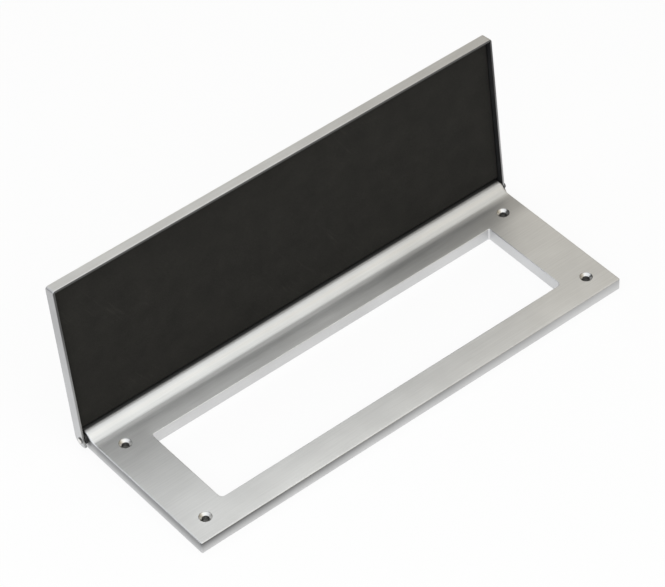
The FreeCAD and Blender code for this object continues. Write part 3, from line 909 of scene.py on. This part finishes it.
def floor_material(stage):
    """Pale floor. What is seen of it is mostly plain white, but less so down the screw holes."""
    material, tree, shader = new_material("pale_floor")
    shader.inputs["Base Color"].default_value = (*stage.floor_colour, 1)
    shader.inputs["Roughness"].default_value = 1.0
    shader.inputs["Specular IOR Level"].default_value = 0.0
    rays = put(tree, "ShaderNodeLightPath").outputs
    mirrored = calculate(tree, "MAXIMUM", rays["Is Glossy Ray"], rays["Is Transmission Ray"])
    seen = calculate(tree, "MAXIMUM", rays["Is Camera Ray"], mirrored)
    reach = screw_reach(tree, put(tree, "ShaderNodeTexCoord").outputs["Object"])
    open_floor = calculate(tree, "GREATER_THAN", reach, COUNTERSINK_RADIUS)
    white_share = choose(tree, open_floor, stage.hole_white, stage.floor_white)
    share = product(tree, seen, white_share)
    white = put(tree, "ShaderNodeEmission", {"Color": (1, 1, 1, 1), "Strength": 1.0})
    mixed = put(tree, "ShaderNodeMixShader", {0: share, 1: shader.outputs[0], 2: white.outputs[0]})
    tree.links.new(mixed.outputs[0], tree.nodes["Material Output"].inputs["Surface"])
    return material


def add_floor(stage):
    """Square floor a hair below the plate."""
    half = stage.floor_size / 2
    mesh = bpy.data.meshes.new("floor")
    corners = [(-half, -half), (half, -half), (half, half), (-half, half)]
    mesh.from_pydata([(x, y, PLATE_LOW.z - HAIR) for x, y in corners], [], [(0, 1, 2, 3)])
    mesh.materials.append(floor_material(stage))
    floor = bpy.data.objects.new("floor", mesh)
    bpy.context.collection.objects.link(floor)


def add_softbox(name, size, place, glow, colour):
    """Flat light that looks down, as bright as its glow."""
    lamp = bpy.data.lights.new(name, "AREA")
    lamp.shape = "RECTANGLE"
    lamp.size, lamp.size_y = size
    lamp.color = colour
    lamp.energy = glow * math.pi * lamp.size * lamp.size_y
    softbox = bpy.data.objects.new(name, lamp)
    softbox.location = place
    bpy.context.collection.objects.link(softbox)


# Span of a direction's part to the back over which the studio's brighter front fades out.
FRONT_SPAN = (-0.75, -0.2)


def light_studio(stage):
    """Studio walls and ceiling, cool on the left and warm on the right, and two softboxes overhead."""
    world = bpy.data.worlds.new("studio")
    bpy.context.scene.world = world
    world.use_nodes = True
    tree = world.node_tree
    direction = axes_of(tree, put(tree, "ShaderNodeTexCoord").outputs["Generated"])
    to_right = spread(tree, direction["X"], 0, 1, -1, 1)
    sky = blend(tree, to_right, stage.left_sky, stage.right_sky)
    background = tree.nodes["Background"]
    tree.links.new(sky, background.inputs["Color"])
    shade = spread(tree, direction["Z"], 1 - stage.horizon_shade, 1, 0, stage.horizon_rise, smooth=True)
    front = spread(tree, direction["Y"], 1 + stage.front_gain, 1, *FRONT_SPAN, smooth=True)
    tree.links.new(product(tree, shade, front), background.inputs["Strength"])
    add_softbox("overhead_softbox", stage.box_size, stage.box_place, stage.box_glow, stage.box_colour)
    add_softbox("right_strip", stage.strip_size, stage.strip_place, stage.strip_glow, stage.box_colour)


class LETTERBOX_OT_set_stage(bpy.types.Operator):
    """Set up the camera, the floor and the studio light"""

    bl_idname = "letterbox.set_stage"
    bl_label = "Set stage"

    def execute(self, context):
        stage = context.scene.letterbox_stage
        add_camera(stage)
        add_floor(stage)
        light_studio(stage)
        context.scene.view_settings.view_transform = "Standard"
        return {"FINISHED"}


class LETTERBOX_PT_panel(bpy.types.Panel):
    """Steps that finish the draught excluder"""

    bl_idname = "LETTERBOX_PT_panel"
    bl_label = "Letterbox draught excluder"
    bl_space_type = "VIEW_3D"
    bl_region_type = "UI"
    bl_category = "Letterbox"

    def draw(self, context):
        for step in STEPS:
            self.layout.operator(step.bl_idname)
        for name, group in SETTINGS.items():
            column = self.layout.column()
            column.label(text=group.__doc__)
            for key in group.__annotations__:
                column.prop(getattr(context.scene, name), key)


SETTINGS = {
    "letterbox_metal": BrushedMetal,
    "letterbox_pins": PinSteel,
    "letterbox_washers": WasherNylon,
    "letterbox_foam": FoamSheet,
    "letterbox_stage": StudioStage,
}
STEPS = (
    LETTERBOX_OT_finish_plate,
    LETTERBOX_OT_finish_flap,
    LETTERBOX_OT_finish_hinge,
    LETTERBOX_OT_make_foam,
    LETTERBOX_OT_set_stage,
)
CLASSES = (*SETTINGS.values(), *STEPS, LETTERBOX_PT_panel)


def register():
    for item in CLASSES:
        bpy.utils.register_class(item)
    for name, group in SETTINGS.items():
        setattr(bpy.types.Scene, name, bpy.props.PointerProperty(type=group))


def unregister():
    for name in SETTINGS:
        delattr(bpy.types.Scene, name)
    for item in reversed(CLASSES):
        bpy.utils.unregister_class(item)


def main():
    register()
    bpy.ops.letterbox.finish_plate()
    bpy.ops.letterbox.finish_flap()
    bpy.ops.letterbox.finish_hinge()
    bpy.ops.letterbox.make_foam()
    bpy.ops.letterbox.set_stage()


if __name__ == "__main__":
    main()
